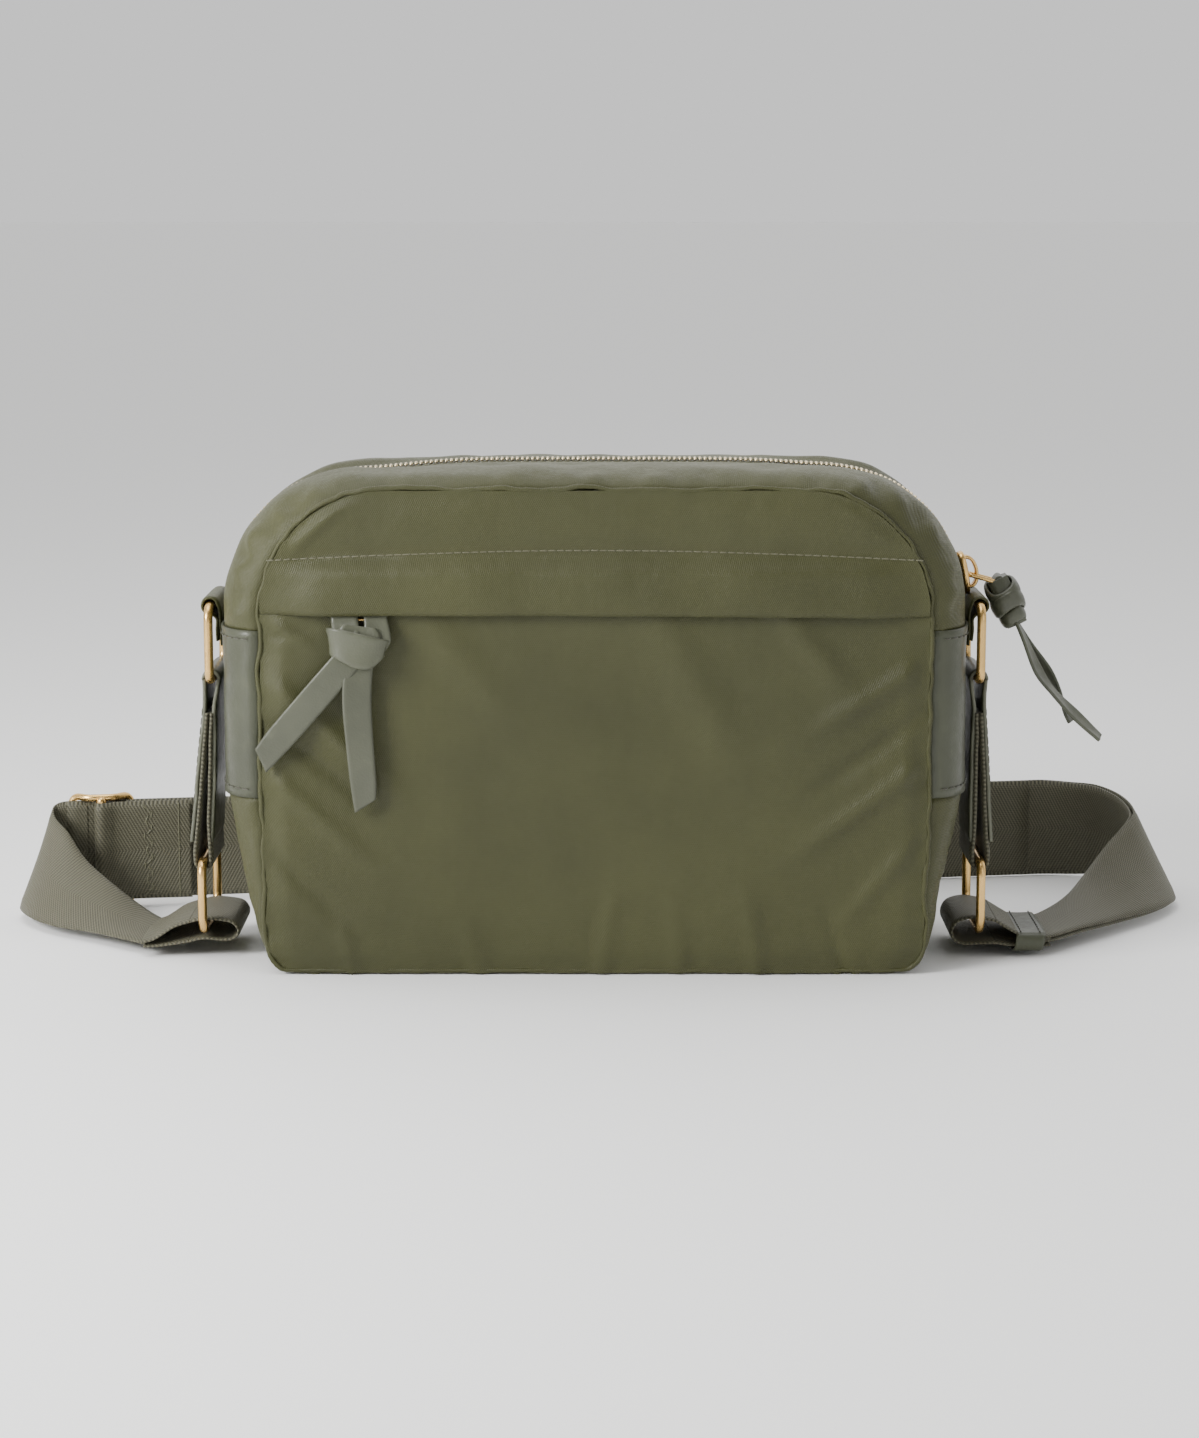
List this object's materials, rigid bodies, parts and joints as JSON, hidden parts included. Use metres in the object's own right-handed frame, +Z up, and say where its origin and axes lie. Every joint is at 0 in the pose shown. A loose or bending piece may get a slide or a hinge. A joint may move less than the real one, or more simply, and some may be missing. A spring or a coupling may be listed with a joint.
{
  "type": "crossbody purse",
  "caption": "Boxy olive nylon crossbody purse with a curved top zip, flap front pocket, knotted pulls and a webbing strap on leather and ring hangers.",
  "frame": {"origin": "middle of the bag's flat bottom, on the surface it stands on", "axes": "+Z up, the front with the flap pocket faces -Y, +X towards the end where the main zip closes"},
  "size_m": [0.4411, 0.1711, 0.177],
  "materials": {
    "nylon": "olive green twill nylon with a soft sheen",
    "leather": "smooth grey green leather, matt",
    "webbing": "olive grey twill webbing",
    "gold_metal": "brushed pale gold plating",
    "zip_teeth": "pale gold metal teeth",
    "zip_tape": "woven olive zip tape",
    "lining_cloth": "thin plain lining cloth",
    "board": "stiff plastic sheet"
  },
  "bodies": {
    "bag": {"back_panel": "nylon", "back_welt": "nylon", "base_board": "board", "front_lower_panel": "nylon", "front_pocket_backing": "lining_cloth", "front_welt": "nylon", "front_yoke_flap": "nylon", "front_zip_chain": "zip_teeth", "front_zip_stops": "gold_metal", "front_zip_tape_lower": "zip_tape", "front_zip_tape_upper": "zip_tape", "inner_slip_pocket": "lining_cloth", "lining": "lining_cloth", "lower_gusset": "nylon", "main_zip_chain": "zip_teeth", "main_zip_stops": "gold_metal", "main_zip_tape_back": "zip_tape", "main_zip_tape_front": "zip_tape", "side_loop_left": "leather", "side_loop_right": "leather", "side_patch_left": "leather", "side_patch_right": "leather", "strap_back_run": "webbing", "strap_inner_layer": "webbing", "strap_keeper": "leather", "strap_left_end": "webbing", "strap_left_run": "webbing", "strap_right_end": "webbing", "strap_right_inner": "webbing", "strap_right_run": "webbing", "zip_gusset_back": "nylon", "zip_gusset_front": "nylon"},
    "front_slider": {"front_zip_slider": "gold_metal", "front_zip_link": "gold_metal"},
    "front_pull": {"front_pull_knot": "leather", "front_pull_tails": "leather"},
    "main_slider": {"main_zip_slider": "gold_metal"},
    "main_pull": {"main_zip_link": "gold_metal", "main_pull_knot": "leather", "main_pull_tails": "leather"},
    "adjuster": {"adjuster_frame": "gold_metal", "adjuster_bar": "gold_metal", "strap_sewn_end": "webbing"},
    "upper_ring_left": {"upper_ring_left": "gold_metal"},
    "hanger_left": {"hanger_leather_left": "leather", "hanger_webbing_left": "webbing"},
    "lower_ring_left": {"lower_ring_left": "gold_metal"},
    "upper_ring_right": {"upper_ring_right": "gold_metal"},
    "hanger_right": {"hanger_leather_right": "leather", "hanger_webbing_right": "webbing"},
    "lower_ring_right": {"lower_ring_right": "gold_metal"}
  },
  "joints": [
    {"name": "front_zip_slide", "type": "slide", "parent": "bag", "child": "front_slider", "axis": [1, 0, 0], "range_m": [0, 0.165]},
    {"name": "front_pull_swing", "type": "hinge", "parent": "front_slider", "child": "front_pull", "pos_m": [-0.08, -0.0469, 0.1252], "axis": [-1, 0, 0], "range_deg": [0, 80]},
    {"name": "main_zip_turn", "type": "hinge", "parent": "bag", "child": "main_slider", "pos_m": [0.08, 0, 0.126], "axis": [0, -1, 0], "range_deg": [0, 72]},
    {"name": "main_pull_lift", "type": "hinge", "parent": "main_slider", "child": "main_pull", "pos_m": [0.13277, 0, 0.13544], "axis": [0, -1, 0], "range_deg": [0, 85]},
    {"name": "upper_ring_left_swing", "type": "hinge", "parent": "bag", "child": "upper_ring_left", "pos_m": [-0.1354, 0, 0.126], "axis": [0, 1, 0], "range_deg": [0, 12]},
    {"name": "hanger_left_swing", "type": "hinge", "parent": "upper_ring_left", "child": "hanger_left", "pos_m": [-0.1354, 0, 0.1], "axis": [0, 1, 0], "range_deg": [-2.5, 8]},
    {"name": "lower_ring_left_swing", "type": "hinge", "parent": "hanger_left", "child": "lower_ring_left", "pos_m": [-0.1395, 0, 0.0345], "axis": [0, 1, 0], "range_deg": [-10, 12], "deforming": ["strap_left_end"]},
    {"name": "upper_ring_right_swing", "type": "hinge", "parent": "bag", "child": "upper_ring_right", "pos_m": [0.1354, 0, 0.126], "axis": [0, -1, 0], "range_deg": [0, 12]},
    {"name": "hanger_right_swing", "type": "hinge", "parent": "upper_ring_right", "child": "hanger_right", "pos_m": [0.1354, 0, 0.1], "axis": [0, -1, 0], "range_deg": [-2.5, 8]},
    {"name": "lower_ring_right_swing", "type": "hinge", "parent": "hanger_right", "child": "lower_ring_right", "pos_m": [0.137, 0, 0.0345], "axis": [0, -1, 0], "range_deg": [-10, 12], "deforming": ["strap_right_end"]},
    {"name": "adjuster_slide", "type": "slide", "parent": "bag", "child": "adjuster", "axis": [0.9887, 0.15, 0], "range_m": [0, 0.11], "deforming": ["strap_inner_layer"]}
  ]
}
